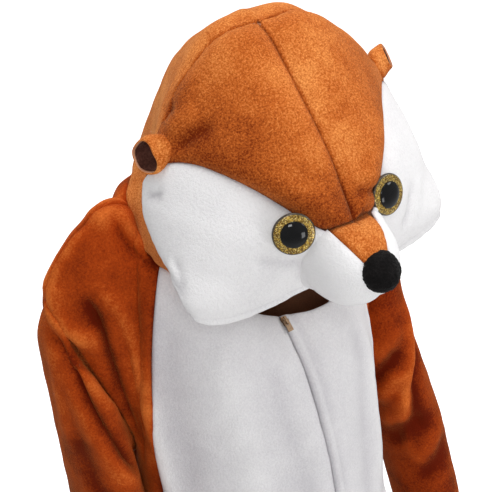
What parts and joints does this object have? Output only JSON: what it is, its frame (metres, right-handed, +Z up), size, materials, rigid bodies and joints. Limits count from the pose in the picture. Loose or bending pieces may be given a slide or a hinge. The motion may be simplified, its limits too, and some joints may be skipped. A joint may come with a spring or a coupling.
{
  "type": "hooded animal onesie",
  "caption": "Child's squirrel onesie in plush: animal-head hood with ears, eyes and muzzle, zip front, white belly, long sleeves and legs.",
  "frame": {"origin": "middle of the wearer's neck, level with the shoulder seams, where the garment hangs", "axes": "+Z up, -Y the front of the garment, +X the wearer's left"},
  "size_m": [0.3647, 0.2978, 1.1655],
  "materials": {
    "rust_plush": "short brushed plush, rust orange with a paler nap",
    "white_plush": "short brushed plush, white",
    "ear_inside": "short plush, dark brown",
    "nose_plush": "short plush, black",
    "iris": "gold glitter under clear plastic",
    "pupil": "gloss black",
    "zip_tape": "woven tape, white",
    "zip_metal": "satin bronze"
  },
  "bodies": {
    "onesie": {"front_left": "rust_plush", "belly_left": "white_plush", "back_left": "rust_plush", "sleeve_left": "rust_plush", "front_right": "rust_plush", "belly_right": "white_plush", "back_right": "rust_plush", "sleeve_right": "rust_plush", "forehead_left": "rust_plush", "cheek_left": "white_plush", "forehead_right": "rust_plush", "cheek_right": "white_plush", "hood_back": "rust_plush", "muzzle_left": "white_plush", "muzzle_right": "white_plush", "bridge": "rust_plush", "nose": "nose_plush", "eye_left": "iris", "pupil_left": "pupil", "eye_right": "iris", "pupil_right": "pupil", "ear_left": "rust_plush", "ear_lining_left": "ear_inside", "ear_right": "rust_plush", "ear_lining_right": "ear_inside", "zip_tape": "zip_tape", "zip_slider": "zip_metal"},
    "pull": {"zip_pull": "zip_metal"}
  },
  "joints": [
    {"name": "pull_hinge", "type": "hinge", "parent": "onesie", "child": "pull", "pos_m": [0, -0.07788, -0.0416], "axis": [1, 0, 0], "range_deg": [-110, 0]}
  ]
}
